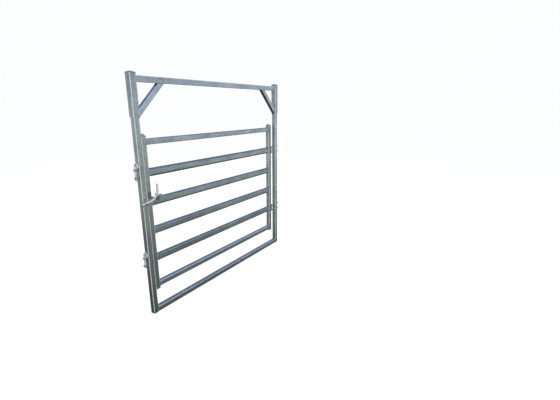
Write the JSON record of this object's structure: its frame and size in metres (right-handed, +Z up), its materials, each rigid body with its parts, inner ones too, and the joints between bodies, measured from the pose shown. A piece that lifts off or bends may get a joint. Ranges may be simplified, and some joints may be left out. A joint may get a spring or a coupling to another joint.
{
  "type": "livestock panel gate",
  "caption": "Galvanised steel stock-yard gate hung in a tall braced arch frame, with pin hinges, a lift-over bar latch and drop-pin couplings.",
  "frame": {"origin": "on the ground under the middle of the sill, in the frame's mid plane", "axes": "+X from the latch post to the hinge post, +Y from the front face to the back, where the leaf hangs, +Z up"},
  "size_m": [2.192, 0.1578, 2.119],
  "materials": {
    "frame_steel": "hot-dip galvanised, weathered, faint spangle",
    "leaf_steel": "hot-dip galvanised, weathered, faint spangle",
    "pressed_caps": "hot-dip galvanised pressing, smooth",
    "zinc_plated_steel": "galvanised round bar, worn brighter where it rubs"
  },
  "bodies": {
    "frame": {"latch_post": "frame_steel", "hinge_post": "frame_steel", "latch_post_foot": "frame_steel", "hinge_post_foot": "frame_steel", "latch_sleeve": "frame_steel", "hinge_sleeve": "frame_steel", "latch_sleeve_cap": "pressed_caps", "hinge_sleeve_cap": "pressed_caps", "header": "frame_steel", "latch_brace": "frame_steel", "hinge_brace": "frame_steel", "sill": "frame_steel", "sleeve_nuts": "frame_steel", "sleeve_set_bolts": "zinc_plated_steel", "hinge_lugs_upper": "frame_steel", "hinge_lugs_lower": "frame_steel", "hinge_pin_upper": "zinc_plated_steel", "hinge_pin_lower": "zinc_plated_steel", "hinge_split_pins": "zinc_plated_steel", "latch_keeper": "frame_steel", "coupling_lugs_latch_upper": "frame_steel", "coupling_lugs_latch_lower": "frame_steel", "coupling_lugs_hinge_upper": "frame_steel", "coupling_lugs_hinge_lower": "frame_steel"},
    "leaf": {"latch_stile": "leaf_steel", "hinge_stile": "leaf_steel", "latch_stile_cap": "pressed_caps", "hinge_stile_cap": "pressed_caps", "latch_stile_foot": "leaf_steel", "hinge_stile_foot": "leaf_steel", "rail_1": "leaf_steel", "rail_2": "leaf_steel", "rail_3": "leaf_steel", "rail_4": "leaf_steel", "rail_5": "leaf_steel", "rail_6": "leaf_steel", "hinge_knuckle_upper": "leaf_steel", "hinge_knuckle_lower": "leaf_steel", "hinge_web_upper": "leaf_steel", "hinge_web_lower": "leaf_steel", "latch_bracket": "leaf_steel", "latch_pivot_bolt": "zinc_plated_steel", "latch_pivot_nut": "zinc_plated_steel"},
    "latch_lever": {"latch_bar": "zinc_plated_steel", "latch_hub": "zinc_plated_steel"},
    "drop_pin_upper": {"coupling_pin_upper": "zinc_plated_steel"},
    "drop_pin_lower": {"coupling_pin_lower": "zinc_plated_steel"}
  },
  "joints": [
    {"name": "leaf_swing", "type": "hinge", "parent": "frame", "child": "leaf", "pos_m": [1.012, 0.052, 0.9], "axis": [0, 0, 1], "range_deg": [-170, 35]},
    {"name": "latch_lift", "type": "hinge", "parent": "leaf", "child": "latch_lever", "pos_m": [-0.90272, -0.042, 1.10294], "axis": [0, 1, 0], "range_deg": [0, 75]},
    {"name": "drop_pin_upper_lift", "type": "slide", "parent": "frame", "child": "drop_pin_upper", "axis": [0, 0, 1], "range_m": [0, 0.09]},
    {"name": "drop_pin_lower_lift", "type": "slide", "parent": "frame", "child": "drop_pin_lower", "axis": [0, 0, 1], "range_m": [0, 0.09]}
  ]
}
